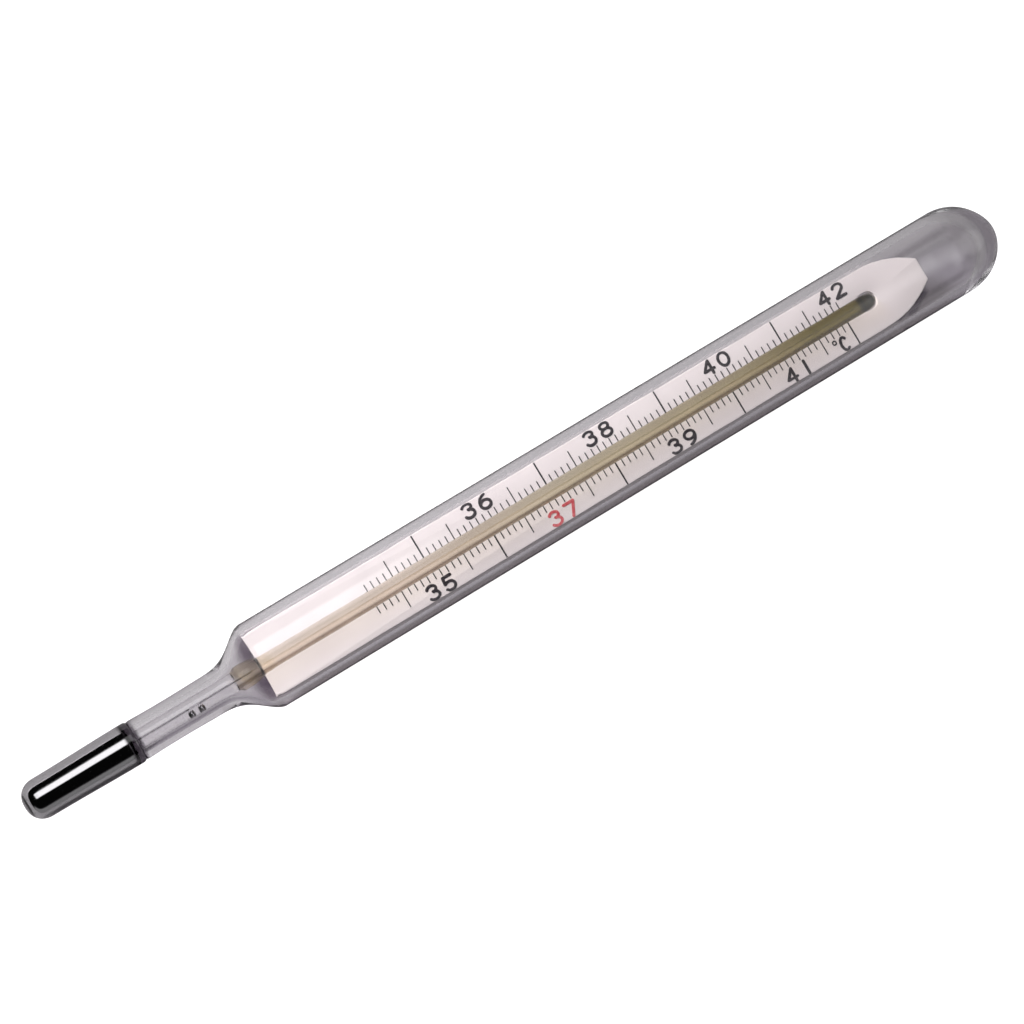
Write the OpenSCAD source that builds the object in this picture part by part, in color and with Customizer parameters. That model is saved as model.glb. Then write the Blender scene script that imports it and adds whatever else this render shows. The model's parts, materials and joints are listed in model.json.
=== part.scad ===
// Enclosed-scale clinical maximum thermometer, in millimetres.
// It lies on its back along X, with the bulb at -X and the printed side of the scale plate facing +Z.
// Every piece is drawn with x counted from the bulb's tip and the bore's axis at y = 0, z = 0,
// and lay_down() then puts the whole thermometer's origin under its middle, on the surface it lies on.

/* [Bulb] */
// Outside diameter of the bulb
bulb_d = 4.66; // [4.2:0.02:5.2]
// Length of the bulb, from its tip to its weld with the neck
bulb_len = 13.1; // [10:0.1:17]
// Thickness of the bulb's thin glass
bulb_wall = 0.42; // [0.3:0.02:0.6]
// Thickness of the glass between the bulb's room and the weld
bulb_cap = 0.9; // [0.6:0.05:1.6]

/* [Sheath] */
// Width of the oval body, across the scale
body_w = 10.1; // [9.4:0.1:12]
// Height of the oval body, which is less than its width so that it doesn't roll
body_h = 8; // [7.6:0.1:9]
// Thickness of the body's glass
body_wall = 0.95; // [0.7:0.05:1.15]
// Outside diameter of the neck
neck_d = 4.5; // [3.8:0.05:5]
// Length of the straight neck, from the weld to the shoulder
neck_len = 8.4; // [6:0.1:14]
// Length of the shoulder, from the neck to the full body
shoulder_len = 6.9; // [5.8:0.1:10]
// Length of the rounded end
dome_len = 6; // [4:0.1:8]
// Thickness of the glass at the rounded end
dome_glass = 2.4; // [1.2:0.1:3]

/* [Bore and neck stem] */
// Diameter of the bore that the thread of metal climbs in
bore_d = 0.3; // [0.26:0.01:0.36]
// Outside diameter of the clear stem inside the neck
stem_d = 2; // [1.7:0.05:2.3]
// Distance from the weld to the throat that breaks the thread
throat_at = 6.9; // [5:0.1:7.5]
// Length of the throat
throat_len = 0.44; // [0.3:0.02:0.8]
// Diameter of the throat
throat_d = 0.2; // [0.16:0.01:0.24]
// Diameter of the two small round swellings of the bore beside the throat
swelling_d = 0.76; // [0.7:0.02:0.8]
// How far the swellings bulge to one side of the bore
swelling_off = 0.42; // [0.36:0.02:0.44]

/* [Capillary] */
// Width of the capillary, which has a round front and a flat back
capillary_w = 1.8; // [1.5:0.05:2]
// Distance from the bore's axis to the flat back
capillary_back = 0.55; // [0.45:0.01:0.65]
// Diameter of the bead at the capillary's foot
foot_d = 2.6; // [2.2:0.05:2.8]
// Distance from the start of the shoulder to the foot
foot_in = 3.4; // [3.2:0.1:4.2]
// Length over which the foot swells from the stem to the bead
foot_rise = 0.7; // [0.4:0.05:1]
// Length of the bead
foot_bead = 1.4; // [1:0.05:1.8]
// Length over which the foot narrows from the bead to the capillary
foot_taper = 2.6; // [1.5:0.1:3.5]
// Diameter of the bent end that hooks through the plate
hook_d = 1.7; // [1.4:0.05:1.9]
// Bend radius of the hook, at its middle
hook_bend = 1; // [1:0.05:1.2]
// How far the hook reaches below the plate
hook_reach = 0.7; // [0.3:0.05:1]
// Distance from the plate's lower end to the start of the flat back
flat_before_plate = 0.15; // [0.1:0.05:0.25]

/* [Scale plate] */
// Thickness of the opal plate
plate_t = 0.5; // [0.35:0.05:0.7]
// Distance from the end of the shoulder to the plate's lower end
plate_past_shoulder = 0.15; // [0.1:0.05:0.6]
// Distance from the plate's lower end to the first mark
first_mark_in = 13.45; // [10:0.05:18]
// Distance from the last mark to the middle of the hook
hook_past_scale = 3.5; // [3:0.1:6]
// Distance from the middle of the hook to the plate's tip
tip_past_hook = 7.5; // [5:0.1:10]
// Length of the rounded sides at the plate's upper end
slant_len = 7.3; // [4:0.1:8]
// Width of the blunt tip
tip_w = 2.6; // [1:0.1:4]
// How far the sides of the tip bulge, from 1 for straight sides
tip_bulge = 2.1; // [1:0.1:3]
// Room between the plate's tip and the glass of the rounded end
tip_room = 7.2; // [4:0.1:12]

/* [Scale] */
// Length of one degree on the scale
degree_len = 7.87; // [7:0.01:9]
// Inner end of every mark, from the middle of the plate
mark_in = 0.75; // [0.6:0.05:1]
// Outer end of the tenth-degree marks
tenth_out = 1.68; // [1.3:0.02:1.8]
// Outer end of the half-degree marks
half_out = 2.75; // [2:0.05:3]
// Width of the thin marks
thin_mark_w = 0.12; // [0.08:0.01:0.18]
// Width of the degree marks
degree_mark_w = 0.17; // [0.1:0.01:0.25]
// Width of the numerals
numeral_w = 1.55; // [1:0.05:1.7]
// Width of the numerals' strokes
stroke_w = 0.34; // [0.2:0.02:0.4]
// Distance from the tenth-degree marks to the numerals
numeral_gap = 0.08; // [0.06:0.02:0.3]
// Distance from the numerals to the plate's edge
numeral_margin = 0.05; // [0.03:0.01:0.2]
// Distance from the degree marks to the plate's edge
degree_margin = 0.08; // [0.04:0.02:0.6]
// Distance between the middles of two numerals of one number
numeral_step = 2.02; // [1.8:0.02:2.4]
// Width of the unit's letter
letter_w = 1.2; // [0.9:0.05:1.6]
// Outside diameter of the unit's degree ring
ring_d = 0.58; // [0.44:0.02:0.8]
// Hole in the unit's degree ring
ring_hole_d = 0.28; // [0.1:0.02:0.34]

/* [Thread] */
// Length of the moving end of the thread
head_len = 4; // [2:0.1:6]
// How far the shaken-down thread's end reaches into the foot
head_in_foot = 2.1; // [1.5:0.1:3]
// Length of the bore past the last mark
bore_spare = 1.2; // [0.8:0.1:1.6]

/* [Fits] */
// Gap round the stem inside the neck
stem_gap = 0.05; // [0.04:0.01:0.1]
// Gap between the flat back of the capillary and the plate
seat_gap = 0.05; // [0.04:0.01:0.1]
// Gap between the plate's long sides and the sheath
side_gap = 0.1; // [0.08:0.01:0.3]
// Gap round the hook in the plate's slot
slot_gap = 0.15; // [0.1:0.01:0.25]
// Gap between the liquid metal and the glass
metal_gap = 0.02; // [0.01:0.005:0.03]
// Thickness of the print
print_t = 0.03; // [0.02:0.005:0.035]

/* [Hidden] */

// First and last mark, counted in tenths of a degree
first_tenth = 341;
last_tenth = 420;

// Reading beside which the unit stands
unit_tenth = 418;

// Places along the axis, from the bulb's tip
shoulder_at = bulb_len + neck_len;
body_at = shoulder_at + shoulder_len;
plate_at = body_at + plate_past_shoulder;
first_mark_at = plate_at + first_mark_in;
scale_end_at = first_mark_at + (last_tenth - first_tenth) / 10 * degree_len;
hook_at = scale_end_at + hook_past_scale;
plate_end_at = hook_at + tip_past_hook;
cavity_end_at = plate_end_at + tip_room;
total_len = cavity_end_at + dome_glass;
foot_at = shoulder_at + foot_in;
lower_swelling_at = bulb_len + throat_at - throat_len / 2 - swelling_d / 2;
upper_swelling_at = bulb_len + throat_at + throat_len / 2 + swelling_d / 2;
capillary_at = foot_at + foot_rise + foot_bead + foot_taper;
head_top = foot_at + head_in_foot;
head_from = head_top - head_len;

// The sheath's outline and its room: ring counts, and where the room begins to widen and is at its full width
sides = 40;
shoulder_rings = 12;
dome_rings = 9;
shoulder_bias = 1.75;
room_lag = 0.4;
room_lead = 0.3;
room_dome_len = 7.5;
tip_steps = 4;
flat_factor = cos(180 / sides);

// Levels above and below the bore's axis
plate_top = -capillary_back - seat_gap;
plate_bottom = plate_top - plate_t;
room_w = body_w - 2 * body_wall;
room_h = body_h - 2 * body_wall;
plate_w = room_w * flat_factor * sqrt(1 - pow(2 * plate_bottom / (room_h * flat_factor), 2))
          - 2 * side_gap;
slot_d = hook_d + 2 * slot_gap;
numeral_in = tenth_out + numeral_gap;
numeral_h = plate_w / 2 - numeral_margin - numeral_in;
degree_out = plate_w / 2 - degree_margin;
thread_d = bore_d - 2 * metal_gap;
bore_end_at = scale_end_at + bore_spare;
overcut = 0.5;
fine = 48;

module lay_down() {
    translate([-total_len / 2, 0, body_h / 2 * flat_factor]) children();
}

// A cylinder along the axis, from one place to another
module rod(from, to, d, d_to = -1) {
    translate([from, 0, 0]) rotate([0, 90, 0])
        cylinder(h = to - from, d1 = d, d2 = d_to < 0 ? d : d_to, $fn = fine);
}

module ball(at, d) {
    translate([at, 0, 0]) sphere(d = d, $fn = fine);
}

// A swelling of the bore beside the throat, drawn in by a gap on every side
module swelling(at, gap) {
    translate([0, -swelling_off, 0]) ball(at, swelling_d - 2 * gap);
}

// The bulb: a thin test tube of glass, closed at its weld but for the bore
module bulb_glass() {
    color([0.86, 0.85, 0.88, 0.5]) lay_down() difference() {
        union() {
            ball(bulb_d / 2, bulb_d);
            rod(bulb_d / 2, bulb_len, bulb_d);
        }
        bulb_room(0);
        rod(bulb_len - bulb_cap - overcut, bulb_len + overcut, bore_d);
    }
}

// The room inside the bulb, drawn in by a gap on every side
module bulb_room(gap) {
    room_d = bulb_d - 2 * bulb_wall - 2 * gap;
    ball(bulb_d / 2, room_d);
    rod(bulb_d / 2, bulb_len - bulb_cap - gap, room_d);
}

// The sheath: a ring of points for one cross-section
function ring(at, w, h) =
    [for (i = [0:sides - 1]) let (t = 360 * (i + 0.5) / sides) [at, w / 2 * cos(t), h / 2 * sin(t)]];

// Share of the way from the neck to the body, a slow start and a quick finish
function ease(t) = t * t * (3 - 2 * t);
function widening(t) = ease(pow(t, shoulder_bias));

// Rings of the shoulder from neck to body, and of a rounded end that closes on a point
function shoulder_rings_of(from, to, d, w, h) =
    [for (i = [0:shoulder_rings]) let (t = i / shoulder_rings, k = widening(t))
        ring(from + (to - from) * t, d + (w - d) * k, d + (h - d) * k)];
function dome_rings_of(from, to, w, h) =
    [for (i = [0:dome_rings - 1]) let (t = 90 * i / dome_rings)
        ring(from + (to - from) * sin(t), w * cos(t), h * cos(t))];

function reversed(list) = [for (i = [len(list) - 1:-1:0]) list[i]];

module sheath() {
    stem_hole = stem_d + 2 * stem_gap;
    outside = concat([ring(bulb_len, neck_d, neck_d)],
                     shoulder_rings_of(shoulder_at, body_at, neck_d, body_w, body_h),
                     dome_rings_of(total_len - dome_len, total_len, body_w, body_h));
    inside = concat([ring(bulb_len, stem_hole, stem_hole)],
                    shoulder_rings_of(shoulder_at + room_lag, body_at - room_lead, stem_hole, room_w, room_h),
                    dome_rings_of(cavity_end_at - room_dome_len, cavity_end_at, room_w, room_h));
    rings = concat(reversed(outside), inside);
    last = len(rings) * sides;
    points = concat([for (r = rings) each r], [[total_len, 0, 0], [cavity_end_at, 0, 0]]);
    skin = [for (k = [0:len(rings) - 2], i = [0:sides - 1])
                let (j = (i + 1) % sides, a = k * sides, b = a + sides)
                each [[a + i, b + j, a + j], [a + i, b + i, b + j]]];
    outer_tip = [for (i = [0:sides - 1]) [last, i, (i + 1) % sides]];
    inner_tip = [for (i = [0:sides - 1]) [last + 1, last - sides + (i + 1) % sides, last - sides + i]];
    color([0.85, 0.84, 0.87, 0.35]) lay_down()
        polyhedron(points, concat(skin, outer_tip, inner_tip));
}

// The clear stem between the bulb and the capillary, with the throat that breaks the thread
module contraction_stem() {
    color([0.9, 0.89, 0.92, 0.6]) lay_down() difference() {
        rod(bulb_len, foot_at, stem_d);
        rod(bulb_len - overcut, lower_swelling_at, bore_d);
        swelling(lower_swelling_at, 0);
        rod(lower_swelling_at, upper_swelling_at, throat_d);
        swelling(upper_swelling_at, 0);
        rod(upper_swelling_at, foot_at + overcut, bore_d);
    }
}

// The capillary: round front, flat back, a bead at its foot and a hook at its upper end
module capillary_tube() {
    bead_from = foot_at + foot_rise;
    bead_to = bead_from + foot_bead;
    bend_at = hook_at - hook_bend;
    flat_from = plate_at - flat_before_plate;
    color([0.62, 0.56, 0.36, 0.7]) lay_down() difference() {
        union() {
            difference() {
                union() {
                    rod(foot_at, bead_from, stem_d, foot_d);
                    rod(bead_from, bead_to, foot_d);
                    rod(bead_to, capillary_at, foot_d, capillary_w);
                    rod(capillary_at, bend_at, capillary_w);
                }
                translate([flat_from, -foot_d, -capillary_back - foot_d])
                    cube([bend_at + overcut - flat_from, 2 * foot_d, foot_d]);
            }
            translate([bend_at, 0, -hook_bend]) rotate([90, 0, 0])
                rotate_extrude(angle = 90, $fn = fine)
                    translate([hook_bend, 0]) circle(d = hook_d, $fn = fine);
            translate([hook_at, 0, plate_bottom - hook_reach])
                cylinder(h = -hook_bend - plate_bottom + hook_reach, d = hook_d, $fn = fine);
        }
        rod(foot_at - overcut, bore_end_at, bore_d);
    }
}

// One side of the plate's tip: points from the blunt end to the full width
tip_side = [for (i = [0:tip_steps]) let (t = i / tip_steps)
    [plate_end_at - slant_len * t, tip_w / 2 + (plate_w - tip_w) / 2 * (1 - pow(1 - t, tip_bulge))]];

// The opal plate: square at its lower end, rounded to a blunt tip, with a slot for the hook
module scale_plate() {
    slot_from = hook_at - hook_bend / 2;
    color([0.96, 0.93, 0.93]) lay_down() difference() {
        translate([0, 0, plate_bottom]) linear_extrude(plate_t) polygon(concat(
            [[plate_at, plate_w / 2], [plate_at, -plate_w / 2]],
            [for (p = reversed(tip_side)) [p.x, -p.y]],
            tip_side));
        for (at = [slot_from, hook_at])
            translate([at, 0, plate_bottom - overcut])
                cylinder(h = plate_t + 2 * overcut, d = slot_d, $fn = fine);
        translate([slot_from, -slot_d / 2, plate_bottom - overcut])
            cube([hook_at - slot_from, slot_d, plate_t + 2 * overcut]);
    }
}

// The liquid metal that fills the bulb and the bore up to the throat
module reservoir_metal() {
    color([0.78, 0.78, 0.8]) lay_down() union() {
        bulb_room(metal_gap);
        rod(bulb_len - bulb_cap - 2 * metal_gap, lower_swelling_at - metal_gap, thread_d);
        swelling(lower_swelling_at, metal_gap);
    }
}

// The thread above the throat, which stretches as the metal climbs
module metal_thread() {
    color([0.78, 0.78, 0.8]) lay_down() union() {
        swelling(upper_swelling_at, metal_gap);
        rod(upper_swelling_at + metal_gap, head_from, thread_d);
    }
}

// The moving end of the thread, with its domed meniscus
module thread_head() {
    color([0.78, 0.78, 0.8]) lay_down() union() {
        rod(head_from, head_top - thread_d / 2, thread_d);
        ball(head_top - thread_d / 2, thread_d);
    }
}

// Where a reading lies on the plate
function at_tenth(tenth) = first_mark_at + (tenth - first_tenth) / 10 * degree_len;

module on_plate() {
    lay_down() translate([0, 0, plate_top]) children();
}

// One mark, on the upper side (side = 1) or the lower side (side = -1) of the capillary
module mark(tenth, side, out, w) {
    translate([at_tenth(tenth) - w / 2, side > 0 ? mark_in : -out, 0])
        cube([w, out - mark_in, print_t]);
}

// Even degrees have their long mark on the lower side and their number on the upper side
function long_side(tenth) = (tenth / 10) % 2 == 0 ? -1 : 1;

module tenth_marks() {
    color([0.25, 0.23, 0.24]) on_plate()
        for (tenth = [first_tenth:last_tenth], side = [-1, 1])
            if (tenth % 5 != 0 || (tenth % 10 == 0 && side != long_side(tenth)))
                mark(tenth, side, tenth_out, thin_mark_w);
}

module half_degree_marks() {
    color([0.25, 0.23, 0.24]) on_plate()
        for (tenth = [first_tenth:last_tenth], side = [-1, 1])
            if (tenth % 10 == 5) mark(tenth, side, half_out, thin_mark_w);
}

module degree_marks() {
    color([0.2, 0.18, 0.19]) on_plate()
        for (tenth = [first_tenth:last_tenth])
            if (tenth % 10 == 0) mark(tenth, long_side(tenth), degree_out, degree_mark_w);
}

// Numerals are pen strokes in a unit box: an arc's points run from one angle to the other
function arc(x, y, rx, ry, from, to) =
    [for (i = [0:10]) let (t = from + (to - from) * i / 10) [x + rx * cos(t), y + ry * sin(t)]];
function loop(x, y, rx, ry) =
    [for (i = [0:15]) let (t = 360 * i / 16) [x + rx * cos(t), y + ry * sin(t)]];

// Open strokes and closed loops of each numeral
function strokes(n) =
    n == 1 ? [[[0.5, 0], [0.5, 1]]] :
    n == 2 ? [arc(0.5, 0.7, 0.48, 0.3, 165, -38), [[0.88, 0.515], [0, 0]], [[0, 0], [1, 0]]] :
    n == 3 ? [arc(0.46, 0.77, 0.44, 0.23, 160, -80), arc(0.46, 0.29, 0.5, 0.29, 85, -155)] :
    n == 4 ? [[[0.74, 0], [0.74, 1]], [[0.74, 1], [0, 0.3]], [[0, 0.3], [1, 0.3]]] :
    n == 5 ? [[[0.9, 1], [0.14, 1]], [[0.14, 1], [0.06, 0.55]], arc(0.46, 0.32, 0.5, 0.32, 135, -150)] :
    n == 6 ? [arc(0.9, 0.32, 0.9, 0.68, 100, 180)] :
    n == 7 ? [[[0, 1], [1, 1]], [[1, 1], [0.36, 0]]] :
    n == 9 ? [arc(0.1, 0.68, 0.9, 0.68, -80, 0)] : [];
function loops(n) =
    n == 0 ? [loop(0.5, 0.5, 0.5, 0.5)] :
    n == 6 ? [loop(0.5, 0.3, 0.5, 0.3)] :
    n == 8 ? [loop(0.5, 0.76, 0.42, 0.24), loop(0.5, 0.27, 0.5, 0.27)] :
    n == 9 ? [loop(0.5, 0.7, 0.5, 0.3)] : [];

// Unit points at the numeral's real size, inside its box by half a stroke
function sized(path, w, h) =
    [for (p = path) [stroke_w / 2 + p.x * (w - stroke_w), stroke_w / 2 + p.y * (h - stroke_w)]];

function unit(v) = v / norm(v);
function left_of(v) = [-v.y, v.x];

// The path moved sideways, at each point along the mean of its neighbours' directions
function beside(path, shift, closed) = let (n = len(path))
    [for (i = [0:n - 1]) let (
        before = path[closed ? (i + n - 1) % n : max(i - 1, 0)],
        after = path[closed ? (i + 1) % n : min(i + 1, n - 1)])
        path[i] + left_of(unit(after - before)) * shift];

// A stroke of the pen with round ends, and a closed loop
module pen(path) {
    linear_extrude(print_t)
        polygon(concat(beside(path, stroke_w / 2, false), reversed(beside(path, -stroke_w / 2, false))));
    for (p = [path[0], path[len(path) - 1]]) translate(p) cylinder(h = print_t, d = stroke_w, $fn = fine);
}

module pen_loop(path) {
    linear_extrude(print_t) difference() {
        polygon(beside(path, -stroke_w / 2, true));
        polygon(beside(path, stroke_w / 2, true));
    }
}

module numeral(n, w, h) {
    for (path = strokes(n)) pen(sized(path, w, h));
    for (path = loops(n)) pen_loop(sized(path, w, h));
}

// A two-figure number centred on its degree, on the side away from the long mark
module number(value) {
    base = long_side(value * 10) < 0 ? numeral_in : -numeral_in - numeral_h;
    for (place = [0, 1])
        translate([at_tenth(value * 10) + (place - 0.5) * numeral_step - numeral_w / 2, base])
            numeral(place == 0 ? floor(value / 10) : value % 10, numeral_w, numeral_h);
}

module numerals() {
    color([0.16, 0.15, 0.16]) on_plate()
        for (value = [35:42]) if (value != 37) number(value);
}

// The number of normal body heat, in red
module numeral_37() {
    color([0.8, 0.3, 0.32]) on_plate() number(37);
}

// The degree ring and the letter of the Celsius unit, before the last mark
module unit_sign() {
    letter_from = at_tenth(unit_tenth) - letter_w / 2;
    color([0.16, 0.15, 0.16]) on_plate() {
        translate([letter_from, -numeral_in - numeral_h])
            pen(sized(arc(0.5, 0.5, 0.5, 0.5, 50, 310), letter_w, numeral_h));
        translate([letter_from - 0.75 * ring_d, -numeral_in - ring_d / 2])
            difference() {
                cylinder(h = print_t, d = ring_d, $fn = fine);
                translate([0, 0, -overcut])
                    cylinder(h = print_t + 2 * overcut, d = ring_hole_d, $fn = fine);
            }
    }
}

bulb_glass();
sheath();
contraction_stem();
capillary_tube();
scale_plate();
reservoir_metal();
metal_thread();
thread_head();
tenth_marks();
half_degree_marks();
degree_marks();
numerals();
numeral_37();
unit_sign();
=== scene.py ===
import json

import bpy
import numpy as np
from mathutils import Matrix, Vector


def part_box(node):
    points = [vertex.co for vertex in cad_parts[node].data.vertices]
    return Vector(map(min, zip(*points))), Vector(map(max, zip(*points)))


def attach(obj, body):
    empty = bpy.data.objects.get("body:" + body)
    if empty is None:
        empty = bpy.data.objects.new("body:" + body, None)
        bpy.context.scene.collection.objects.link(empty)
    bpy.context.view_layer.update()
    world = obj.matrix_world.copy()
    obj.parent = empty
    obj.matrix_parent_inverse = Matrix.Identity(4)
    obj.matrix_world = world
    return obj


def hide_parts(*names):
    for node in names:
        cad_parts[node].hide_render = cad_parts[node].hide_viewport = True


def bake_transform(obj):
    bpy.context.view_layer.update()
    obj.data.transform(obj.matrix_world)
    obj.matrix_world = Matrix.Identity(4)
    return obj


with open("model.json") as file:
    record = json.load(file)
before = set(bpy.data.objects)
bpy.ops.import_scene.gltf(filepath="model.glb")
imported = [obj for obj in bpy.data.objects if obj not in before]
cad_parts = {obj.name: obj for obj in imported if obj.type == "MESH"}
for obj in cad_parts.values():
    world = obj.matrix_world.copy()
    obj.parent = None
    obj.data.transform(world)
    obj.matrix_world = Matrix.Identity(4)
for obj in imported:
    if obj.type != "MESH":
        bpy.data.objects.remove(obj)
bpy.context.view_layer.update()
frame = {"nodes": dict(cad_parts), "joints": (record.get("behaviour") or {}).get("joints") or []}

# Sheath. One oval tube of clear lead glass, drawn down to a neck at one end and closed over the flame at
# the other. It was slipped over the scale and the capillary, and its neck is welded to the bulb. Sizes are
# in metres and angles in radians, and a gap is the angle between a pole and the ring next to it.
MM = 0.001
sheath_low, sheath_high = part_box("sheath")
plate_low, plate_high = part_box("scale_plate")
stem_low, stem_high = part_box("contraction_stem")
axis_z = (sheath_low.z + sheath_high.z) / 2
weld_x = sheath_low.x
neck_r = 2.24 * MM
neck_waist = 0.06 * MM
neck_len = 8.4 * MM
neck_crowd = 1.5
shoulder_len = 6.9 * MM
shoulder_bias = 1.75
body_w = (sheath_high.y - sheath_low.y) / 2
body_h = (sheath_high.z - sheath_low.z) / 2
body_slim = 0.018
body_wall = 1.1 * MM
dome_len = 6.0 * MM
dome_glass = 2.4 * MM
dome_gap = 0.02
tip_slim = 0.11
tip_lean = 0.35 * MM
tip_power = 4
room_dome_len = 4.6 * MM
room_lag = 0.4 * MM
room_lead = 0.3 * MM
stem_gap = 0.05 * MM
weld_groove = 0.14 * MM
weld_groove_len = 0.35 * MM
sharp_edge = np.radians(40)
AROUND = 160


def ease(t):
    """t t (3 - 2 t): rises from 0 to 1 with level ends."""
    return t * t * (3 - 2 * t)


def widening(t):
    """ease(t ** bias): the shoulder's slow start and quick finish."""
    return ease(t ** shoulder_bias)


def ovals(x, half_y, half_z, off_y=0.0, sides=AROUND):
    """One ring at each x. Point k of n is (x, off_y + half_y cos a, axis_z + half_z sin a), with
    a = 2 pi k / n."""
    sizes = [np.asarray(v, float) for v in (x, half_y, half_z, off_y)]
    x, half_y, half_z, off_y = np.broadcast_arrays(*sizes)
    a = np.linspace(0, 2 * np.pi, sides, endpoint=False)
    return np.stack([
        np.repeat(x[:, None], sides, 1),
        off_y[:, None] + half_y[:, None] * np.cos(a),
        axis_z + half_z[:, None] * np.sin(a)], axis=-1)


def rounds(x, radius, off_y=0.0, sides=AROUND):
    """Ovals of one radius: a circle at each x."""
    return ovals(x, radius, radius, off_y, sides)


def skin(rings, first_pole=None, last_pole=None, joined=False, hollow=False):
    """Points and blocks of faces: quads between neighbouring rings (rings x sides x 3), and a fan from an end
    ring to its pole. joined lays a band from the last ring back to the first. The volume's sign turns the
    faces outwards, or inwards round a hollow."""
    count, sides = rings.shape[:2]
    row = np.arange(count if joined else count - 1)[:, None]
    k = np.arange(sides)[None, :]
    a, b, k_next = row * sides, (row + 1) % count * sides, (k + 1) % sides
    quads = np.stack([a + k, a + k_next, b + k_next, b + k], axis=-1).reshape(-1, 4)
    points, blocks = rings.reshape(-1, 3), [quads]
    for pole, ring, turn in ((first_pole, 0, 1), (last_pole, count - 1, -1)):
        if pole is not None:
            fan = np.stack([np.full(sides, len(points)), ring * sides + k_next[0], ring * sides + k[0]], -1)
            blocks.append(fan[:, ::turn])
            points = np.vstack([points, pole])
    corners = points[quads] - points.mean(0)
    across = np.cross(corners[:, 1], corners[:, 2]) + np.cross(corners[:, 2], corners[:, 3])
    volume = (corners[:, 0] * across).sum()
    if (volume < 0) != hollow:
        blocks = [block[:, ::-1] for block in blocks]
    return points, blocks


def glass_piece(name, material, *skins):
    """One mesh of one or more closed skins, smooth but for its sharp edges."""
    points, faces, start = [], [], 0
    for skin_points, blocks in skins:
        points += skin_points.tolist()
        for block in blocks:
            faces += (block + start).tolist()
        start += len(skin_points)
    mesh = bpy.data.meshes.new(name)
    mesh.from_pydata(points, [], faces)
    mesh.shade_smooth()
    mesh.set_sharp_from_angle(angle=sharp_edge)
    mesh.materials.append(material)
    piece = bpy.data.objects.new(name, mesh)
    bpy.context.scene.collection.objects.link(piece)
    return piece


def sheath_rings():
    """The outer skin from the rounded end to the weld, then the inner skin from the weld to its rounded end:
    quarter ovals for the ends, the widening curve for the shoulders and a rounded groove at the weld."""
    dome_t = np.linspace(np.pi / 2 - dome_gap, 0, 40)
    shoulder_t = np.linspace(0, 1, 56)
    neck_t = np.linspace(1, 0, 40)[1:-1] ** neck_crowd
    body_t = np.linspace(0, 1, 16)[1:-1]
    groove_t = (dome_t[::4] / dome_t[0])[::-1]
    body_from = weld_x + neck_len + shoulder_len
    dome_from = sheath_high.x - dome_len
    slim_w = body_w * (1 - body_slim)
    tip_share = np.sin(dome_t) ** tip_power
    shoulder_share = widening(1 - shoulder_t)
    outer = [
        ovals(dome_from + dome_len * np.sin(dome_t), body_w * np.cos(dome_t) * (1 - tip_slim * tip_share),
              body_h * np.cos(dome_t), -tip_lean * tip_share * np.cos(dome_t)),
        ovals(dome_from + (body_from - dome_from) * body_t, body_w + (slim_w - body_w) * body_t, body_h),
        ovals(body_from - shoulder_len * shoulder_t,
              neck_r + (slim_w - neck_r) * shoulder_share, neck_r + (body_h - neck_r) * shoulder_share),
        rounds(weld_x + weld_groove_len + (neck_len - weld_groove_len) * neck_t,
               neck_r - neck_waist * np.sin(np.pi * neck_t)),
        rounds(weld_x + weld_groove_len * (1 - groove_t),
               neck_r - weld_groove * (1 - np.cos(np.arcsin(groove_t))))]
    hole_r = (stem_high.y - stem_low.y) / 2 + stem_gap
    room_w, room_h = body_w - body_wall, body_h - body_wall
    room_from = weld_x + neck_len + room_lag
    room_full = body_from - room_lead
    room_dome_from = sheath_high.x - dome_glass - room_dome_len
    room_share = widening(shoulder_t)
    inner = [
        rounds(weld_x + neck_len * np.linspace(0, 1, 12), hole_r),
        ovals(room_from + (room_full - room_from) * shoulder_t,
              hole_r + (room_w - hole_r) * room_share, hole_r + (room_h - hole_r) * room_share),
        ovals(np.linspace(room_full, room_dome_from, 12)[1:-1], room_w, room_h),
        ovals(room_dome_from + room_dome_len * np.sin(dome_t[::-1]),
              room_w * np.cos(dome_t[::-1]), room_h * np.cos(dome_t[::-1]))]
    return np.concatenate(outer + inner)


def new_material(name):
    """A new material, with its nodes and its shader."""
    material = bpy.data.materials.new(name)
    material.use_nodes = True
    return material, material.node_tree, material.node_tree.nodes["Principled BSDF"]


def wire(tree, node, sockets):
    """Give each input of a node, by its name or number, the output that feeds it or its fixed value."""
    for socket, value in sockets.items():
        if isinstance(value, bpy.types.NodeSocket):
            tree.links.new(value, node.inputs[socket])
        else:
            node.inputs[socket].default_value = value
    return node


def add(tree, kind, sockets=(), **settings):
    """A new node of a kind, with its own settings, and wired."""
    node = tree.nodes.new("ShaderNode" + kind)
    for name, value in settings.items():
        setattr(node, name, value)
    return wire(tree, node, dict(sockets))


def maths(tree, operation, *values):
    """The result of one Math node, such as a sum, or the greater of two values."""
    return add(tree, "Math", enumerate(values), operation=operation).outputs[0]


def fade(tree, value, begins, full, level=1.0, ends="SMOOTHSTEP"):
    """0 where the value is begins, rising to the level where it is full."""
    sockets = {"Value": value, "From Min": begins, "From Max": full, "To Max": level}
    return add(tree, "MapRange", sockets, interpolation_type=ends).outputs["Result"]


def mixed(tree, share, first, second, blend="MIX"):
    """A share of the second colour laid over the first."""
    sockets = {"Factor": share, "A": first, "B": second}
    return add(tree, "Mix", sockets, data_type="RGBA", blend_type=blend).outputs["Result"]


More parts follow.
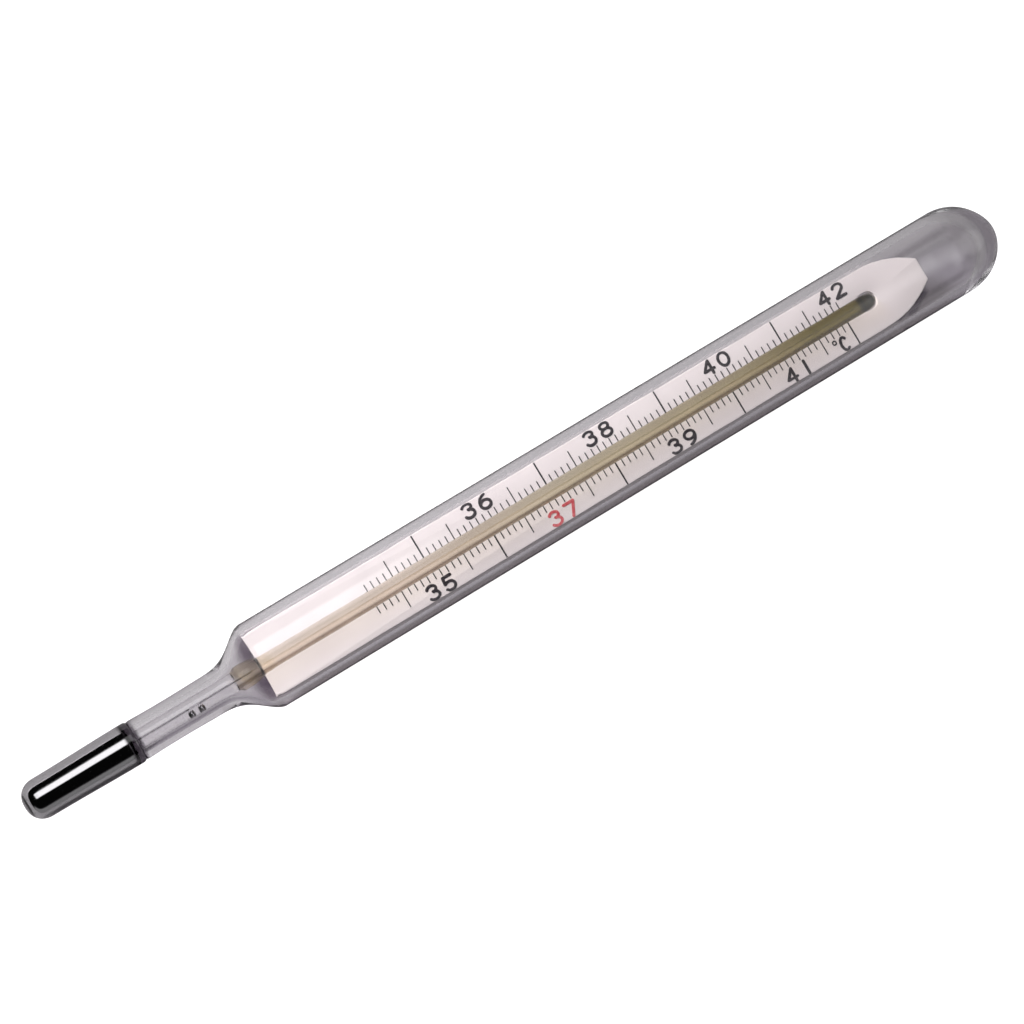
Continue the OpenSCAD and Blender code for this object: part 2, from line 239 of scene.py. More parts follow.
def colours(tree, value, *stops, ends="LINEAR"):
    """The colour at a value from 0 to 1, between stops of a value and its colour."""
    node = add(tree, "ValToRGB", {"Fac": value})
    node.color_ramp.interpolation = ends
    ramp = node.color_ramp.elements
    ramp[0].position, ramp[0].color = stops[0][0], (*stops[0][1], 1)
    ramp[1].position, ramp[1].color = stops[-1][0], (*stops[-1][1], 1)
    for at, shade in stops[1:-1]:
        ramp.new(at).color = (*shade, 1)
    return node.outputs["Color"]


def node_of(material, kind):
    """The one node of a kind that drawn_glass gave to a material."""
    return next(node for node in material.node_tree.nodes if node.type == kind)


# The smoke round the weld: how far towards the bulb its middle lies, how far from there it is full and where
# it ends, and its colour.
smoke_off = 0.35 * MM
smoke_from, smoke_to = 0.45 * MM, 0.95 * MM
smoke_tint = (0.09, 0.075, 0.095)

# The ripple along the tube, and where the wall grows dim to a lamp's ray, from 0 face on to 1 along the wall.
ripple_scale = (40, 400, 400)
ripple_depth = 0.004 * MM
graze_from, graze_to = 0.6, 0.95


def drawn_glass(name, tint, haze=0.0, shadow_tint=(0.95, 0.94, 0.96), shadow_rim=0.35):
    """Clear polished glass with the faint lengthwise ripple of drawn tube, smoked grey by the flame round the
    weld. haze is the share of light that old scratches and dust scatter. Lamps' rays and diffuse rays go
    straight through, so that what is inside is lit, and grow dim where they graze the wall."""
    material, tree, glass = new_material(name)
    place = add(tree, "TexCoord").outputs["Object"]
    split = add(tree, "SeparateXYZ", {"Vector": place})
    off_weld = maths(tree, "ABSOLUTE", maths(tree, "SUBTRACT", split.outputs["X"], weld_x - smoke_off))
    clear = fade(tree, off_weld, smoke_from, smoke_to)
    stretched = add(tree, "Mapping", {"Vector": place, "Scale": ripple_scale})
    ripple = add(tree, "TexNoise", {"Vector": stretched.outputs["Vector"], "Detail": 1.0})
    bump = add(tree, "Bump", {"Strength": 1.0, "Distance": ripple_depth, "Height": ripple.outputs["Fac"]})
    wire(tree, glass, {
        "Base Color": mixed(tree, clear, (*smoke_tint, 1), (*tint, 1)), "Roughness": 0.0, "IOR": 1.5,
        "Transmission Weight": 1.0 - haze, "Normal": bump.outputs["Normal"]})
    rays = add(tree, "LightPath").outputs
    straight = maths(tree, "MAXIMUM", rays["Is Shadow Ray"], rays["Is Diffuse Ray"])
    facing = add(tree, "LayerWeight", {"Blend": 0.5}).outputs["Facing"]
    rim_tint = [shadow_rim * c for c in shadow_tint]
    through = add(tree, "BsdfTransparent", {
        "Color": colours(tree, facing, (graze_from, shadow_tint), (graze_to, rim_tint))})
    mix = add(tree, "MixShader", {"Fac": straight, 1: glass.outputs["BSDF"], 2: through.outputs["BSDF"]})
    wire(tree, tree.nodes["Material Output"], {"Surface": mix.outputs["Shader"]})
    return material


# An oval a little inside the outline of the room's far end, and a line along the plate's slanted edge, for
# the painted shade to follow.
ring_half, ring_len = 2.8 * MM, 4.2 * MM
ring_end, ring_lean = 0.9 * MM, 0.3 * MM
trace_slant = np.radians(22.8)
trace_at = 22.55 * MM

# Each painted shade is a colour and its soft edges: a place, where the shade begins and where it is full.
# Painted shade: a dark violet wedge on the underside of the shoulder beside the plate's foot, where the floor
# under the plate lies in shade.
shoulder_shade = (0.27, 0.22, 0.28), (
    ("x", plate_low.x - 3.0 * MM, plate_low.x - 0.6 * MM),
    ("x", plate_low.x + 3.3 * MM, plate_low.x + 0.9 * MM),
    ("z", axis_z + 0.1 * MM, axis_z - 2.7 * MM),
    ("aside", -0.7 * MM, 1.7 * MM))
# Painted shade: the -Y side of the neck, away from the lamps, is darkened.
neck_side_shade = (0.66, 0.63, 0.67), (
    ("x", weld_x + 0.2 * MM, weld_x + 0.8 * MM),
    ("x", weld_x + neck_len + 3.0 * MM, weld_x + neck_len + 1.0 * MM),
    ("y", -0.9 * MM, -1.35 * MM))
# Painted shade: a dark ring round the room's far end, where the thick glass bends light away.
far_end_ring_shade = (0.6, 0.57, 0.6), (
    ("x", plate_high.x - 7.5 * MM, plate_high.x - 6.0 * MM),
    ("z", axis_z, axis_z - 1.0 * MM),
    ("outward", 0.78, 1.0),
    ("outward", 1.35, 1.12))
# Painted shade: the solid glass of the rounded end is darkened.
tip_shade = (0.68, 0.65, 0.68), (
    ("x", sheath_high.x - 4.0 * MM, sheath_high.x - 3.2 * MM),)
# Painted shadow: a dark violet line beside the plate's slanted edge on its -Y side, under the sheath's
# middle.
slant_edge_shadow = (0.12, 0.09, 0.14), (
    ("x", plate_high.x - 5.9 * MM, plate_high.x - 4.9 * MM),
    ("x", plate_high.x + 0.6 * MM, plate_high.x - 0.6 * MM),
    ("z", axis_z, axis_z - 0.5 * MM),
    ("y", 0.0, -1.0 * MM),
    ("slant", trace_at - 0.5 * MM, trace_at - 0.15 * MM),
    ("slant", trace_at + 0.5 * MM, trace_at + 0.15 * MM))
scuff_from, scuff_to = sheath_high.x - dome_len - 2.5 * MM, sheath_high.x - 4.0 * MM
scuff_rough = 0.14


def sheath_places(material):
    """Sockets that say where a point of the sheath lies: x, y, z, its distance aside from the middle, how far
    out it is from the middle of the room's far end, with 1 on the oval, and how far it is from the origin,
    square to the slanted line."""
    tree = material.node_tree
    split = node_of(material, "SEPXYZ")
    place = split.inputs["Vector"].links[0].from_socket
    x, y, z = (split.outputs[axis] for axis in "XYZ")
    past = add(tree, "MapRange", {
        "Value": x, "From Min": sheath_high.x - ring_end - ring_len, "From Max": sheath_high.x - ring_end},
        clamp=False)
    onward = maths(tree, "MAXIMUM", past.outputs["Result"], 0.0)
    beside = maths(tree, "MULTIPLY_ADD", y, 1 / ring_half, ring_lean / ring_half)
    joined = add(tree, "CombineXYZ", {"X": onward, "Y": beside})
    outward = add(tree, "VectorMath", {0: joined.outputs["Vector"]}, operation="LENGTH")
    over_line = (np.sin(trace_slant), -np.cos(trace_slant), 0)
    slant = add(tree, "VectorMath", {0: place, 1: over_line}, operation="DOT_PRODUCT")
    return {"x": x, "y": y, "z": z, "aside": maths(tree, "ABSOLUTE", y),
            "outward": outward.outputs["Value"], "slant": slant.outputs["Value"]}


def paint_shade(material, places, tint, edges):
    """Painted violet-grey shade laid on the sheath's colour: the product of its soft edges."""
    tree = material.node_tree
    glass = tree.nodes["Principled BSDF"]
    share, *others = [fade(tree, places[place], begins, full) for place, begins, full in edges]
    for other in others:
        share = maths(tree, "MULTIPLY", share, other)
    unsmoked = glass.inputs["Base Color"].links[0].from_socket
    wire(tree, glass, {"Base Color": mixed(tree, share, unsmoked, (*tint, 1))})


def scuff_end(material, places):
    """The fine scratches that the rounded end gets from its case, which blur its gloss more and more."""
    tree = material.node_tree
    scuff = fade(tree, places["x"], scuff_from, scuff_to, scuff_rough)
    wire(tree, tree.nodes["Principled BSDF"], {"Roughness": scuff})


sheath_glass = drawn_glass("sheath_glass", (0.975, 0.96, 0.978), haze=0.008)
sheath_place = sheath_places(sheath_glass)
# Lay each painted shade and shadow on the sheath's colour.
for shade_tint, shade_edges in (shoulder_shade, neck_side_shade, far_end_ring_shade, tip_shade, slant_edge_shadow):
    paint_shade(sheath_glass, sheath_place, shade_tint, shade_edges)
scuff_end(sheath_glass, sheath_place)
sheath = glass_piece("glass_sheath", sheath_glass, skin(
    sheath_rings(), first_pole=(sheath_high.x, 0, axis_z), last_pole=(sheath_high.x - dome_glass, 0, axis_z)))
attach(sheath, "root")
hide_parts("sheath")

# Bulb. A thin test tube of glass, blown on the end of the stem and welded to the neck, where the wall
# thickens into a small dark ring.
bulb_low, bulb_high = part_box("bulb_glass")
bulb_r = (bulb_high.y - bulb_low.y) / 2
bulb_tip_r = 2.19 * MM
bulb_wall = 0.42 * MM
bulb_cap = 0.4 * MM
crown_len = 0.6 * MM
tip_blunt = 2.3
tip_gap = 0.03
room_blunt = 3.0
weld_round = 0.4 * MM
weld_air = 0.01 * MM
bore_r = 0.055 * MM


def test_tube(tip_x, crown_x, inset, crown, mouth_r, blunt):
    """x and radius of a round tip, a wall that widens with level ends, and a quarter-oval crown down to the
    mouth, all drawn in by the inset. The tip is |x| ** n + |r| ** n = 1, a ball at n = 2, blunter above."""
    t = np.linspace(tip_gap, np.pi / 2, 40)
    wall_t = np.linspace(0, 1, 24)[1:-1]
    tip_r = bulb_tip_r - inset
    wide_r = bulb_r - inset
    wall_from = tip_x + tip_r
    x = np.concatenate([
        wall_from - tip_r * np.cos(t),
        wall_from + (crown_x - crown - wall_from) * wall_t,
        crown_x - crown + crown * np.sin(t)])
    r = np.concatenate([
        tip_r * (1 - np.cos(t) ** blunt) ** (1 / blunt),
        tip_r + (wide_r - tip_r) * ease(wall_t),
        mouth_r + (wide_r - mouth_r) * np.cos(t)])
    return x, r


def bulb_rings():
    """The outer skin from the tip over the rounded weld, then back through the bore and round the room."""
    end_x = bulb_high.x - weld_air
    outer_x, outer_r = test_tube(bulb_low.x, end_x, 0, weld_round, neck_r - weld_groove, tip_blunt)
    x, r = test_tube(
        bulb_low.x + bulb_wall, bulb_high.x - bulb_cap, bulb_wall, crown_len, bore_r, room_blunt)
    return np.concatenate([rounds(outer_x, outer_r), rounds([end_x], bore_r), rounds(x[::-1], r[::-1])])


clear_glass = drawn_glass("clear_glass", (0.98, 0.97, 0.985), shadow_tint=(0.8, 0.78, 0.81))
bulb = glass_piece("glass_bulb", clear_glass, skin(
    bulb_rings(), first_pole=(bulb_low.x, 0, axis_z), last_pole=(bulb_low.x + bulb_wall, 0, axis_z)))
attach(bulb, "root")
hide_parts("bulb_glass")

# Stem. A clear rod inside the neck, with the bore along its middle. Two side swellings and a fine throat
# between them break the thread when the thermometer cools.
stem_r = (stem_high.y - stem_low.y) / 2
throat_x = weld_x + 6.9 * MM
throat_half = 0.22 * MM
throat_r = 0.05 * MM
swelling_r = 0.38 * MM
swelling_off = 0.42 * MM
swelling_x = [throat_x - throat_half - swelling_r, throat_x + throat_half + swelling_r]
swelling_sides = 64
ball_gap = 0.06


def swelling_skin(middle_x, radius, hollow=False):
    """A ball beside the bore: rings of radius r cos t at x + r sin t."""
    t = np.linspace(-np.pi / 2 + ball_gap, np.pi / 2 - ball_gap, 33)
    rings = rounds(middle_x + radius * np.sin(t), radius * np.cos(t), -swelling_off, swelling_sides)
    poles = [(middle_x + end, -swelling_off, axis_z) for end in (-radius, radius)]
    return skin(rings, *poles, hollow=hollow)


def stem_rings():
    """The outside from the weld to the capillary's foot, then the bore back again, drawn in at the throat."""
    x = np.linspace(weld_x + weld_air, stem_high.x + weld_air, 121)
    pinch = ease(np.clip((np.abs(x - throat_x) - throat_half / 2) / throat_half, 0, 1))
    r = throat_r + (bore_r - throat_r) * pinch
    return np.concatenate([rounds(x[::10], stem_r), rounds(x[::-1], r[::-1])])


stem = glass_piece("glass_stem", clear_glass, skin(stem_rings(), joined=True),
                   *[swelling_skin(x, swelling_r, hollow=True) for x in swelling_x])
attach(stem, "root")
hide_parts("contraction_stem")

# Liquid metal. It fills the bulb, runs through the weld and along the bore to the first swelling, and lies
# broken off beyond the throat. Its skin is a mirror.
head_low, head_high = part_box("thread_head")
thread_r = 0.05 * MM
thread_sides = 48
ball_r = swelling_r - 0.02 * MM
wetting = 0.01 * MM
pool_low_x = bulb_low.x + bulb_wall - wetting
meniscus_gap = 0.05


def mirror_metal():
    """Bright liquid metal, with the faint film that dulls a very old bulb in patches."""
    material, tree, metal = new_material("liquid_metal")
    place = add(tree, "TexCoord").outputs["Object"]
    patches = add(tree, "TexNoise", {"Vector": place, "Scale": 900}).outputs["Fac"]
    film = add(tree, "MapRange", {
        "Value": patches, "From Min": 0.4, "From Max": 0.8, "To Min": 0.02, "To Max": 0.07})
    wire(tree, metal, {
        "Base Color": (0.5, 0.495, 0.505, 1), "Metallic": 1.0, "Roughness": film.outputs["Result"]})
    return material


liquid_metal = mirror_metal()
pool_x, pool_r = test_tube(
    pool_low_x, bulb_high.x - bulb_cap, bulb_wall - wetting, crown_len, thread_r, room_blunt)
neck_thread_x = np.linspace(bulb_high.x - bulb_cap, swelling_x[0], 24)[1:]
pool = glass_piece(
    "metal_pool", liquid_metal,
    skin(np.concatenate([rounds(pool_x, pool_r), rounds(neck_thread_x, thread_r)]),
         (pool_low_x, 0, axis_z), (swelling_x[0], 0, axis_z)),
    swelling_skin(swelling_x[0], ball_r))
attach(pool, "root")
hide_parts("reservoir_metal")

column = glass_piece(
    "metal_column", liquid_metal,
    skin(rounds(np.linspace(swelling_x[1], head_low.x, 61), thread_r, sides=thread_sides),
         (swelling_x[1], 0, axis_z), (head_low.x, 0, axis_z)),
    swelling_skin(swelling_x[1], ball_r))
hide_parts("metal_thread")
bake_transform(column)

meniscus_x = head_high.x - thread_r
meniscus_t = np.linspace(0, np.pi / 2 - meniscus_gap, 16)
column_end = glass_piece("metal_column_end", liquid_metal, skin(
    np.concatenate([
        rounds(np.linspace(head_low.x, meniscus_x, 4)[:-1], thread_r, sides=thread_sides),
        rounds(meniscus_x + thread_r * np.sin(meniscus_t), thread_r * np.cos(meniscus_t),
               sides=thread_sides)]),
    (head_low.x, 0, axis_z), (head_high.x, 0, axis_z)))
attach(column_end, "column")
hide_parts("thread_head")

# Capillary. A thick-walled tube of yellow-green glass with a round front and a flat back. It swells to a
# bead at its foot, and its far end is bent down through the scale plate to hold it.
tube_low, tube_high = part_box("capillary_tube")
tube_r = 0.9 * MM
flat_back = 0.55 * MM
foot_r = (tube_high.y - tube_low.y) / 2
foot_rise = 0.7 * MM
foot_bead = 1.4 * MM
foot_taper = 2.6 * MM
flat_from = plate_low.x - 0.15 * MM
flat_ramp = 0.4 * MM
hook_r = 0.85 * MM
hook_bend = 1.0 * MM
hook_round = 0.5 * MM
hook_x = tube_high.x - hook_r
bend_x = hook_x - hook_bend
bore_spare = 0.07 * MM
bore_end_x = head_high.x + frame["joints"][0]["range_m"][1] + bore_spare

# The joint with the clear stem lies on a slant, and the skin of the empty bore is mostly see-through.
joint_slant = 0.68
joint_from, joint_to = tube_low.x + 0.3 * MM, tube_low.x + 0.8 * MM
faint_from, faint_to = 0.2 * MM, 0.1 * MM
bore_faint = 0.8

# The tint from the foot to the hook, and the painted shade and light from the -Y side to the +Y side.
tube_tints = (
    (0.0, (0.86, 0.76, 0.58)), (0.035, (0.86, 0.76, 0.58)), (0.06, (0.93, 0.87, 0.79)),
    (0.25, (0.84, 0.78, 0.7)), (0.5, (0.72, 0.695, 0.55)), (0.75, (0.58, 0.54, 0.37)),
    (0.82, (0.46, 0.42, 0.25)), (0.893, (0.26, 0.23, 0.085)), (0.96, (0.2, 0.17, 0.04)),
    (0.99, (0.06, 0.05, 0.01)), (1.0, (0.01, 0.008, 0.002)))
painted_shade_and_light = (
    (0.0, (0.45, 0.4, 0.38)), (0.05, (0.2, 0.16, 0.13)), (0.19, (0.14, 0.1, 0.08)),
    (0.33, (1.0, 0.98, 0.95)), (0.46, (1.0, 0.98, 0.95)), (0.6, (0.85, 0.85, 0.85)),
    (1.0, (0.9, 0.9, 0.9)))


def capillary_rings():
    """Round rings from the hook's tip back round its bend, D-shaped rings along the plate, the foot's bead,
    and the bore's rings from the foot to the bore's end. A D is a circle cut at the flat back."""
    a = np.linspace(0, 2 * np.pi, AROUND, endpoint=False)
    turn = np.linspace(np.pi / 2, 0, 32)
    tip_t = np.linspace(np.pi / 2 - ball_gap, 0, 12)
    hook_rings = len(tip_t) + 1
    hook_top_z = axis_z - hook_bend
    path_x = np.concatenate([np.full(hook_rings, hook_x), bend_x + hook_bend * np.sin(turn)])
    path_z = np.concatenate([
        tube_low.z + hook_round * (1 - np.sin(tip_t)), [(tube_low.z + hook_top_z) / 2],
        hook_top_z + hook_bend * np.cos(turn)])
    angle = np.concatenate([np.full(hook_rings, np.pi / 2), turn])
    radius = np.concatenate([
        hook_r - hook_round * (1 - np.cos(tip_t)), [hook_r],
        hook_r + (tube_r - hook_r) * ease(1 - turn / (np.pi / 2))])
    flatness = ease(np.clip(2 - 3 * turn, 0, 1))
    back = np.concatenate([np.full(hook_rings, hook_r), hook_r + (flat_back - hook_r) * flatness])
    y = radius[:, None] * np.cos(a)
    up = np.maximum(radius[:, None] * np.sin(a), -back[:, None])
    hook = np.stack([
        path_x[:, None] + up * np.sin(angle)[:, None], y, path_z[:, None] + up * np.cos(angle)[:, None]], -1)
    bead_x = tube_low.x + foot_rise
    taper_to = bead_x + foot_bead + foot_taper
    x = np.concatenate([
        np.linspace(bend_x, taper_to, 24)[1:-1],
        np.linspace(taper_to, bead_x, 60),
        np.linspace(bead_x, tube_low.x, 16)[1:]])
    rise = ease(np.clip((x - tube_low.x) / foot_rise, 0, 1))
    fall = ease(np.clip((x - bead_x - foot_bead / 2) / (foot_taper + foot_bead / 2), 0, 1))
    r = stem_r + (foot_r - stem_r) * rise + (tube_r - foot_r) * fall
    cut = r + (flat_back - r) * ease(np.clip((x - flat_from + flat_ramp) / flat_ramp, 0, 1))
    tube = np.stack([
        np.repeat(x[:, None], AROUND, 1), r[:, None] * np.cos(a),
        axis_z + np.maximum(r[:, None] * np.sin(a), -cut[:, None])], -1)
    end_t = np.linspace(0, np.pi / 2 - ball_gap, 10)
    end_x = bore_end_x - bore_r
    bore = np.concatenate([
        rounds(np.linspace(tube_low.x, end_x, 20), bore_r),
        rounds(end_x + bore_r * np.sin(end_t), bore_r * np.cos(end_t))])
    return np.concatenate([hook, tube, bore])


def tinted_glass_material():
    """The capillary's yellow-green glass. The tint starts on a slant at the foot, where it is fused to the
    clear stem, and deepens towards the hook. Painted dark brown shade runs along its -Y side, with a painted
    highlight of focused light beside it. Near the axis, where only the bore is, the skin lets most rays
    straight through."""
    material = drawn_glass("tinted_glass", (0.97, 0.96, 0.97), shadow_tint=(0.97, 0.96, 0.93), shadow_rim=0.9)
    tree = material.node_tree
    glass = tree.nodes["Principled BSDF"]
    split = node_of(material, "SEPXYZ")
    place = split.inputs["Vector"].links[0].from_socket
    x, y = split.outputs["X"], split.outputs["Y"]
    along = fade(tree, x, tube_low.x, tube_high.x, ends="LINEAR")
    across = fade(tree, y, -tube_r, tube_r, ends="LINEAR")
    past_joint = fade(tree, maths(tree, "MULTIPLY_ADD", y, joint_slant, x), joint_from, joint_to)
    clear = glass.inputs["Base Color"].links[0].from_socket
    fused = mixed(tree, past_joint, clear, colours(tree, along, *tube_tints))
    # Painted shade on the -Y side and a painted highlight beside it, multiplied into the tint.
    shaded_tint = mixed(tree, 1.0, fused, colours(tree, across, *painted_shade_and_light), "MULTIPLY")
    wire(tree, glass, {"Base Color": shaded_tint})
    from_axis = add(tree, "Mapping", {"Vector": place, "Location": (0, 0, -axis_z), "Scale": (0, 1, 1)})
    radius = add(tree, "VectorMath", {0: from_axis.outputs["Vector"]}, operation="LENGTH").outputs["Value"]
    faint = fade(tree, radius, faint_from, faint_to, bore_faint, ends="LINEAR")
    mix = node_of(material, "MIX_SHADER")
    straight = mix.inputs["Fac"].links[0].from_socket
    wire(tree, mix, {"Fac": maths(tree, "MAXIMUM", straight, faint)})
    return material


tinted_glass = tinted_glass_material()
capillary = glass_piece("capillary", tinted_glass, skin(
    capillary_rings(), first_pole=(hook_x, 0, tube_low.z), last_pole=(bore_end_x, 0, axis_z)))
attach(capillary, "root")
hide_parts("capillary_tube")

# Scale plate. A strip of white opal glass, cut square below and slanted to a blunt tip above, with its
# edges rubbed down on a stone. The capillary lies on its face, and the hook goes through its slot.
slot_r = hook_r + 0.15 * MM
slot_from_x = hook_x - hook_bend / 2
tip_len = 7.3 * MM
tip_half = 1.3 * MM
tip_bulge = 2.1
plate_half = (plate_high.y - plate_low.y) / 2
edge_round = 0.08 * MM
ray_count = 240
corner_rays = np.array([-0.003, -0.001, 0, 0.001, 0.003])
parallel = 1e-6


def plate_rings():
    """Each ring goes round the slot or the outline at one set of angles. A ray from the slot's middle meets
    the outline at the nearest of its straight sides, drawn in by an inset. The long edges are quarter
    circles."""
    middle = np.array([(slot_from_x + hook_x) / 2, 0.0])
    t = np.linspace(0, 1, 13)
    side_y = tip_half + (plate_half - tip_half) * (1 - (1 - t) ** tip_bulge)
    side = np.stack([plate_high.x - tip_len * t, side_y], -1)
    foot = np.array([[plate_low.x, plate_half], [plate_low.x, -plate_half]])
    corners = np.concatenate([side, foot, side[::-1] * (1, -1)])
    along = np.roll(corners, -1, 0) - corners
    normals = np.stack([along[:, 1], -along[:, 0]], -1) / np.linalg.norm(along, axis=1)[:, None]
    reach = (normals * (corners - middle)).sum(1)
    exact = np.arctan2(*(corners - middle).T[::-1])
    near = (exact[:, None] + corner_rays).ravel()
    a = np.unique(np.concatenate([np.linspace(-np.pi, np.pi, ray_count, endpoint=False), near]))
    way = np.stack([np.cos(a), np.sin(a)], -1)
    toward = way @ normals.T
    half_run = (hook_x - slot_from_x) / 2

    def outline(inset):
        far = np.where(toward > parallel, (reach - inset) / np.maximum(toward, parallel), np.inf).min(1)
        return middle + way * far[:, None]

    def slot(outset):
        r = slot_r + outset
        side_far = r / np.maximum(np.abs(way[:, 1]), parallel)
        end_far = half_run * np.abs(way[:, 0]) + np.sqrt(np.maximum(r * r - (half_run * way[:, 1]) ** 2, 0))
        far = np.where(side_far * np.abs(way[:, 0]) < half_run, side_far, end_far)
        return middle + way * far[:, None]

    t = np.linspace(0, np.pi / 2, 5)
    bite, rise = edge_round * (1 - np.cos(t)), edge_round * (1 - np.sin(t))
    top, bottom = plate_high.z, plate_low.z
    levels = [(slot(b), bottom + r) for b, r in zip(bite[::-1], rise[::-1])]
    levels += [(slot(b), top - r) for b, r in zip(bite, rise)]
    levels += [(outline(b), top - r) for b, r in zip(bite[::-1], rise[::-1])]
    levels += [(outline(b), bottom + r) for b, r in zip(bite, rise)]
    return np.stack([np.column_stack([xy, np.full(len(a), z)]) for xy, z in levels])


def opal_glass_material():
    """Milk-white glass, faintly pink, with the soft cloudiness of opal and a lightly ground surface. It is
    thin, and lets a good part of a lamp's light through."""
    material, tree, opal = new_material("opal_glass")
    place = add(tree, "TexCoord").outputs["Object"]
    cloud = add(tree, "TexNoise", {"Vector": place, "Scale": 160, "Detail": 3}).outputs["Fac"]
    grain = add(tree, "TexNoise", {"Vector": place, "Scale": 5000}).outputs["Fac"]
    bump = add(tree, "Bump", {"Strength": 0.3, "Distance": 0.004 * MM, "Height": grain})
    wire(tree, opal, {
        "Base Color": colours(tree, cloud, (0.3, (0.80, 0.74, 0.71)), (0.7, (0.87, 0.81, 0.77))),
        "Roughness": 0.35, "IOR": 1.5, "Normal": bump.outputs["Normal"]})
    lamp_share = maths(tree, "MULTIPLY", add(tree, "LightPath").outputs["Is Shadow Ray"], 0.6)
    through = add(tree, "BsdfTransparent", {"Color": (1.0, 0.97, 0.95, 1)})
    mix = add(tree, "MixShader", {"Fac": lamp_share, 1: opal.outputs["BSDF"], 2: through.outputs["BSDF"]})
    wire(tree, tree.nodes["Material Output"], {"Surface": mix.outputs["Shader"]})
    return material


opal_glass = opal_glass_material()
plate = glass_piece("opal_plate", opal_glass, skin(plate_rings(), joined=True))
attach(plate, "root")
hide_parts("scale_plate")

# Print. Marks, numerals and the unit sign are enamel, printed on the plate and fired, black but for the
# red 37. The CAD solids are the print itself.


def enamel(name, dark, light):
    """Fired print: a thin grainy enamel, a little paler where it lies thin."""
    material, tree, ink = new_material(name)
    place = add(tree, "TexCoord").outputs["Object"]
    grain = add(tree, "TexNoise", {"Vector": place, "Scale": 3500, "Detail": 4}).outputs["Fac"]
    wire(tree, ink, {"Base Color": colours(tree, grain, (0.4, dark), (0.75, light)), "Roughness": 0.45})
    return material


black_enamel = enamel("black_enamel", (0.012, 0.01, 0.012), (0.06, 0.05, 0.055))
red_enamel = enamel("red_enamel", (0.5, 0.07, 0.08), (0.68, 0.2, 0.2))
for node in ("tenth_marks", "half_degree_marks", "degree_marks", "numerals", "unit_sign"):
    frame["nodes"][node].data.materials.clear()
    frame["nodes"][node].data.materials.append(black_enamel)
frame["nodes"]["numeral_37"].data.materials.clear()
frame["nodes"]["numeral_37"].data.materials.append(red_enamel)

# Camera. It looks down on the plate from the bulb's side, 300 mm away, and its roll lifts the rounded end.
# The lens is given in pixels, for a picture of 1024 by 1024.
elevation = np.radians(75.6)
roll = np.radians(31.0)
distance = 300 * MM
focal_px = 2800
picture_px = 1024
sensor_mm = 36
target = Vector((-2.47 * MM, 0.27 * MM, axis_z))
back = Vector((-np.cos(elevation), 0, np.sin(elevation)))
level_right = Vector((np.sin(elevation), 0, np.cos(elevation)))
level_up = Vector((0, 1, 0))
right = np.cos(roll) * level_right - np.sin(roll) * level_up
up = np.sin(roll) * level_right + np.cos(roll) * level_up
camera = bpy.data.objects.new("camera", bpy.data.cameras.new("camera"))
bpy.context.scene.collection.objects.link(camera)
camera.data.sensor_width = sensor_mm
camera.data.lens = focal_px * sensor_mm / picture_px
camera.data.clip_start = 0.01
turned = Matrix((right, up, back)).transposed().to_4x4()
camera.matrix_world = Matrix.Translation(target + back * distance) @ turned
bpy.context.scene.camera = camera

# Floor. A large sheet of paper under the thermometer. It is white to the camera, and grey in what the glass
# and the metal reflect and refract.
half_floor = 3.0
floor_corners = half_floor * np.array([(-1, -1, 0), (1, -1, 0), (1, 1, 0), (-1, 1, 0)])
floor_mesh = bpy.data.meshes.new("floor")
floor_mesh.from_pydata(floor_corners.tolist(), [], [(0, 1, 2, 3)])
floor = bpy.data.objects.new("floor", floor_mesh)
bpy.context.scene.collection.objects.link(floor)
paper, paper_tree, paper_shader = new_material("paper")
wire(paper_tree, paper_shader, {
    "Base Color": (0.37, 0.358, 0.367, 1), "Roughness": 0.9, "Specular IOR Level": 0.0,
    "Emission Color": (1, 1, 1, 1),
    "Emission Strength": add(paper_tree, "LightPath").outputs["Is Camera Ray"]})
floor_mesh.materials.append(paper)

# Soft box. It hangs over the +Y side and gives the glass and the metal their long highlights, with edges
# that fade out. It doesn't light the plate.
box_lean = np.radians(27)
box_distance = 0.28
box_long, box_wide = 0.25, 0.215
box_middle_x = -0.03
box_radiance = 1.9
box_fades = {"X": (0.0, 0.17, 0.71, 0.88), "Y": (0.0, 0.2, 0.8, 1.0)}
dark, lit = (0, 0, 0), (1, 1, 1)
softbox_light = bpy.data.lights.new("softbox", "AREA")
softbox_light.shape = "RECTANGLE"
softbox_light.size = box_long
softbox_light.size_y = box_wide
softbox_light.energy = box_radiance * np.pi * box_long * box_wide
softbox_light.use_nodes = True
box_tree = softbox_light.node_tree
box_split = add(box_tree, "SeparateXYZ", {"Vector": add(box_tree, "TexCoord").outputs["UV"]})
box_glows = [
    colours(box_tree, box_split.outputs[axis], *zip(places, (dark, lit, lit, dark)), ends="EASE")
    for axis, places in box_fades.items()]
box_glow = mixed(box_tree, 1.0, *box_glows, "MULTIPLY")
wire(box_tree, box_tree.nodes["Emission"], {"Color": box_glow})
softbox = bpy.data.objects.new("softbox", softbox_light)
softbox.location = (box_middle_x, box_distance * np.sin(box_lean), box_distance * np.cos(box_lean))
softbox.rotation_euler = (-box_lean, 0, 0)
softbox.visible_diffuse = False
bpy.context.scene.collection.objects.link(softbox)

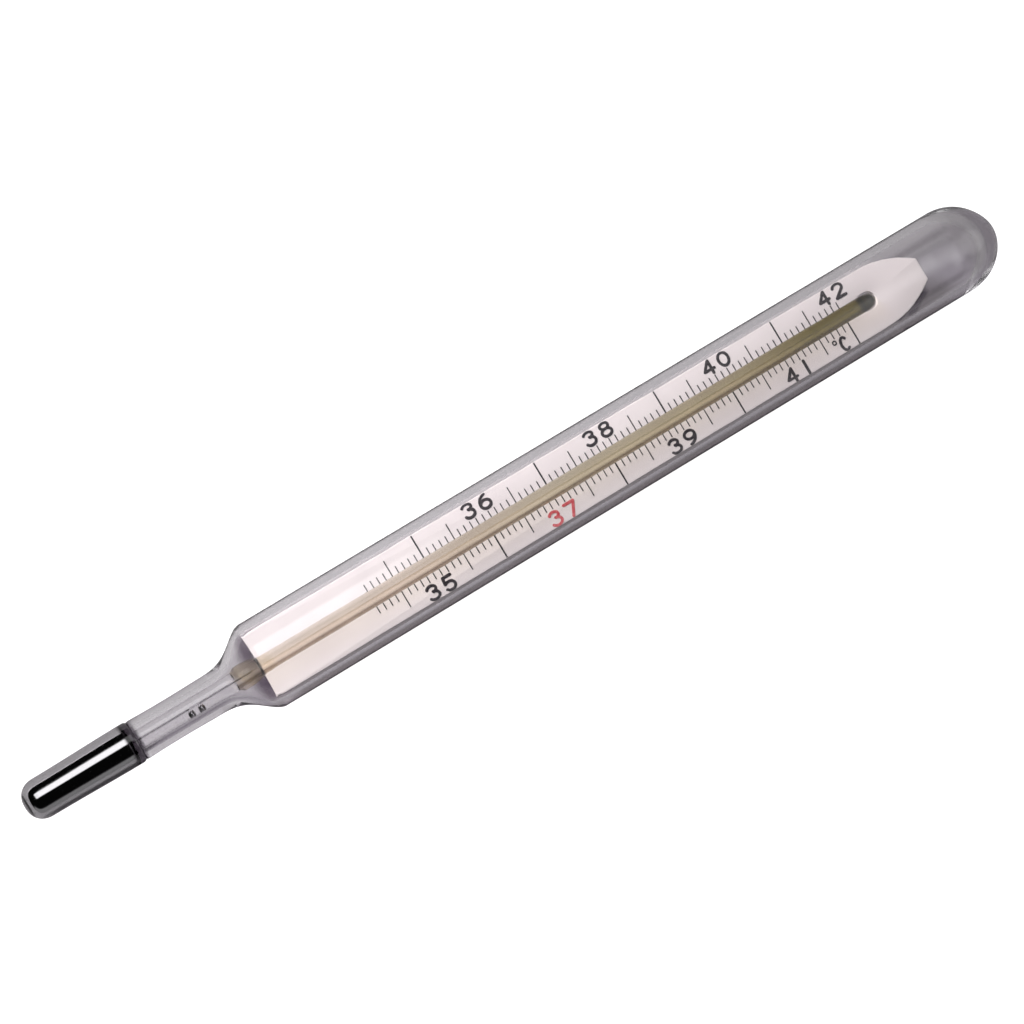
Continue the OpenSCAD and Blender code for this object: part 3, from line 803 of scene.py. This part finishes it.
# Lamp. A small round lamp, low on the +Y side and towards the bulb. It lights the plate and the print, and
# neither the glass nor the metal reflects it.
lamp_place = Vector((-0.115, 0.22, 0.14))
lamp_target = Vector((-0.015, 0, 0))
lamp_watts = 1.8
lamp_light = bpy.data.lights.new("lamp", "AREA")
lamp_light.shape = "DISK"
lamp_light.size = 0.12
lamp_light.energy = lamp_watts
lamp = bpy.data.objects.new("lamp", lamp_light)
lamp.location = lamp_place
lamp.rotation_euler = (lamp_place - lamp_target).to_track_quat("Z", "Y").to_euler()
lamp.visible_glossy = False
lamp.visible_transmission = False
bpy.context.scene.collection.objects.link(lamp)

# Room. It is dark in the reflections but for a low card on the -Y side, a pale wall at the rounded end and a
# bright card above that end. The camera sees white, and diffuse rays get an even glow.
room_glow = 0.003
side_from, side_to = -0.25, -0.5
low_from, low_to = 0.47, 0.33
side_card_glow = 0.3
wall_from, wall_to = 0.28, 0.42
wall_glow = 0.3
end_card_way = (0.71, -0.08, 0.7)
end_card_from, end_card_to = 0.89, 0.98
end_card_glow = 1.5
diffuse_glow = 0.14
world = bpy.data.worlds.new("room")
world.use_nodes = True
world.cycles.sampling_method = "NONE"
bpy.context.scene.world = world
room = world.node_tree
room_rays = add(room, "LightPath").outputs
way = add(room, "TexCoord").outputs["Generated"]
aim = add(room, "SeparateXYZ", {"Vector": way}).outputs
beside = fade(room, aim["Y"], side_from, side_to, ends="LINEAR")
low = fade(room, aim["Z"], low_from, low_to, side_card_glow, ends="LINEAR")
side_card = maths(room, "MULTIPLY_ADD", beside, low, room_glow)
wall = fade(room, aim["X"], wall_from, wall_to, wall_glow, ends="LINEAR")
toward_end_card = add(room, "VectorMath", {0: way, 1: end_card_way}, operation="DOT_PRODUCT")
end_card = fade(room, toward_end_card.outputs["Value"], end_card_from, end_card_to, end_card_glow)
cards = maths(room, "ADD", maths(room, "ADD", side_card, wall), end_card)
unseen = add(room, "Mix", {"Factor": room_rays["Is Diffuse Ray"], "A": cards, "B": diffuse_glow})
strength = add(room, "Mix", {
    "Factor": room_rays["Is Camera Ray"], "A": unseen.outputs["Result"], "B": 1.0})
wire(room, room.nodes["Background"], {"Color": (1, 1, 1, 1), "Strength": strength.outputs["Result"]})

scene = bpy.context.scene
scene.view_settings.view_transform = "Standard"
scene.cycles.use_denoising = True
scene.cycles.max_bounces = 24
scene.cycles.transmission_bounces = 20
scene.cycles.transparent_max_bounces = 24
